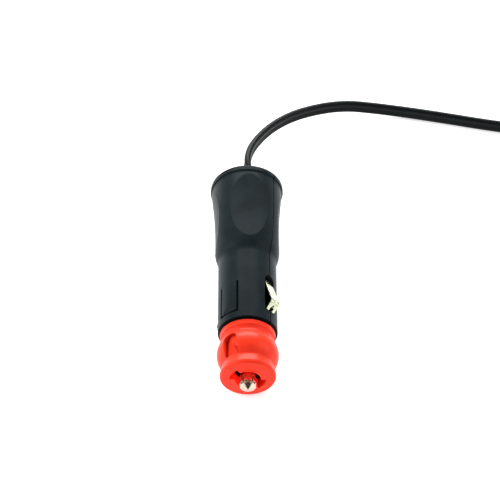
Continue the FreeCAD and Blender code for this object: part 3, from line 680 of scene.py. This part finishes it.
def make_tie(context, centre):
    """Hook and loop strap round the coil: a cube without its two ends, given thickness."""
    lead = context.scene.plug_lead
    half = (lead.coil_layers - 1) / 2 * lead.coil_pitch + lead.thickness / 2
    height = lead.width + lead.coil_rise
    angle = math.radians(TIE_DEG)
    nothing_selected()
    bpy.ops.mesh.primitive_cube_add(
        size=1,
        location=(
            centre.x + lead.coil_radius * math.cos(angle),
            centre.y + lead.coil_radius * math.sin(angle),
            height / 2 + TIE_LIFT,
        ),
        rotation=(0, 0, angle),
    )
    tie = context.object
    tie.name = "cord_tie"
    tie.scale = (2 * half + TIE_PLAY, TIE_WIDTH, height - TIE_SINK)
    bpy.ops.object.transform_apply(location=False, rotation=False, scale=True)
    bpy.ops.object.mode_set(mode="EDIT")
    bpy.ops.mesh.select_mode(type="FACE")
    bpy.ops.mesh.select_all(action="DESELECT")
    bpy.ops.object.mode_set(mode="OBJECT")
    for face in tie.data.polygons:
        face.select = abs(face.normal.y) > 0.9
    bpy.ops.object.mode_set(mode="EDIT")
    bpy.ops.mesh.delete(type="ONLY_FACE")
    bpy.ops.object.mode_set(mode="OBJECT")
    corners = tie.modifiers.new("corners", "BEVEL")
    corners.width, corners.segments, corners.limit_method = TIE_CORNER, 5, "ANGLE"
    wall = tie.modifiers.new("wall", "SOLIDIFY")
    wall.thickness, wall.offset = TIE_WALL, 0.2
    edge = tie.modifiers.new("edge", "BEVEL")
    edge.width, edge.segments = TIE_EDGE, 2
    for name in ("corners", "wall", "edge"):
        bpy.ops.object.modifier_apply(modifier=name)
    bpy.ops.object.shade_smooth_by_angle(angle=math.radians(40))
    strap = soft_rubber("tie strap", (0.02, 0.02, 0.022), 0.75)
    return finished(tie, strap, "housing")


class PLUG_OT_studio(bpy.types.Operator):
    """Pale floor, soft light and the camera"""

    bl_idname = "plug.studio"
    bl_label = "Studio"

    def execute(self, context):
        studio = context.scene.plug_studio
        nothing_selected()
        bpy.ops.mesh.primitive_plane_add(size=6, location=(0, 0, -0.02 * MM))
        floor = context.object
        floor.name = "floor"
        white = Finish("floor paper", Roughness=0.9, Emission_Strength=studio.glow)
        white.set("Emission Color", (1, 1, 1))
        tone = white.noise(0.3, 2.0)
        white.set("Base Color", white.mix(tone, studio.floor, shaded(studio.floor, 1.02)))
        floor.data.materials.append(white.material)
        world = bpy.data.worlds.new("studio")
        world.use_nodes = True
        world.node_tree.nodes["Background"].inputs["Color"].default_value = (1, 1, 1, 1)
        world.node_tree.nodes["Background"].inputs["Strength"].default_value = studio.room
        context.scene.world = world
        for name, place, width, height, share in SOFT_BOXES:
            soft_box(name, place, LIGHT_AIM, width, height, studio.key * share)
        for card in DARK_CARDS:
            dark_card(*card)
        level = math.cos(studio.elevation)
        back = Vector(
            (
                level * math.sin(studio.azimuth),
                -level * math.cos(studio.azimuth),
                math.sin(studio.elevation),
            )
        )
        camera = bpy.data.objects.new("camera", bpy.data.cameras.new("camera"))
        camera.data.lens = studio.lens
        camera.data.sensor_width = 36
        camera.data.clip_start, camera.data.clip_end = 0.01, 10
        camera.location = FRAME_CENTRE + back * studio.distance
        camera.rotation_euler = (-back).to_track_quat("-Z", "Y").to_euler()
        context.scene.collection.objects.link(camera)
        context.scene.camera = camera
        context.scene.view_settings.view_transform = "Standard"
        return {"FINISHED"}


def soft_box(name, place, aim, width, height, power):
    data = bpy.data.lights.new(name, "AREA")
    data.shape = "RECTANGLE"
    data.size, data.size_y = width, height
    data.energy = power
    light = bpy.data.objects.new(name, data)
    light.location = place
    light.rotation_euler = (Vector(aim) - Vector(place)).to_track_quat("-Z", "Y").to_euler()
    bpy.context.scene.collection.objects.link(light)


def dark_card(name, place, width, height):
    """Upright black card on the camera's side, seen only in reflections."""
    nothing_selected()
    bpy.ops.mesh.primitive_plane_add(size=1, location=place, rotation=(math.radians(90), 0, 0))
    card = bpy.context.object
    card.name = name
    card.scale = (width, height, 1)
    black = Finish(name, Base_Color=(0.004, 0.004, 0.004), Roughness=1.0)
    card.data.materials.append(black.material)
    card.visible_camera = card.visible_diffuse = card.visible_shadow = False


class PLUG_PT_panel(bpy.types.Panel):
    """Lists the steps that dress the plug"""

    bl_idname = "PLUG_PT_panel"
    bl_label = "Lighter Plug"
    bl_space_type = "VIEW_3D"
    bl_region_type = "UI"
    bl_category = "Lighter Plug"

    def draw(self, context):
        for step in STEPS:
            self.layout.operator(step.bl_idname)


STEPS = (
    PLUG_OT_studio,
    PLUG_OT_lead,
    PLUG_OT_housing,
    PLUG_OT_adapter,
    PLUG_OT_contacts,
    PLUG_OT_pin,
    PLUG_OT_far_plug,
)
GROUPS = {"plug_lead": PLUG_PG_lead, "plug_finish": PLUG_PG_finish, "plug_studio": PLUG_PG_studio}


def register():
    for cls in (*GROUPS.values(), *STEPS, PLUG_PT_panel):
        bpy.utils.register_class(cls)
    for name, group in GROUPS.items():
        setattr(bpy.types.Scene, name, PointerProperty(type=group))


def unregister():
    for name in GROUPS:
        delattr(bpy.types.Scene, name)
    for cls in reversed((*GROUPS.values(), *STEPS, PLUG_PT_panel)):
        bpy.utils.unregister_class(cls)


def main():
    register()
    for step in STEPS:
        group, name = step.bl_idname.split(".")
        getattr(getattr(bpy.ops, group), name)()


if __name__ == "__main__":
    main()
